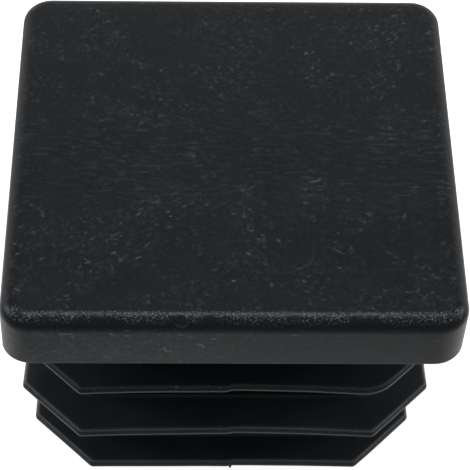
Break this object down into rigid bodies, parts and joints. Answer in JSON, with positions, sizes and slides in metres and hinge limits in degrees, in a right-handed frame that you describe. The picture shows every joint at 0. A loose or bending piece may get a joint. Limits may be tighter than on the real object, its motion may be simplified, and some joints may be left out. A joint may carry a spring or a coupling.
{
  "type": "square tube end cap",
  "caption": "Square end cap for a square tube: a flat rounded head, and a hollow stem with thin cut-corner fins that grip the inside of the tube.",
  "frame": {"origin": "centre of the head's underside, where the cap sits on the cut end of the tube", "axes": "+Z along the tube's axis, out of the tube towards the head's flat outer face; X and Y square to the head's sides"},
  "size_m": [0.04, 0.04, 0.0267],
  "materials": {
    "black_plastic": "semi-matt moulded black polyethylene with fine pale scuffs"
  },
  "bodies": {
    "root": {"end_cap": "black_plastic"}
  },
  "joints": []
}
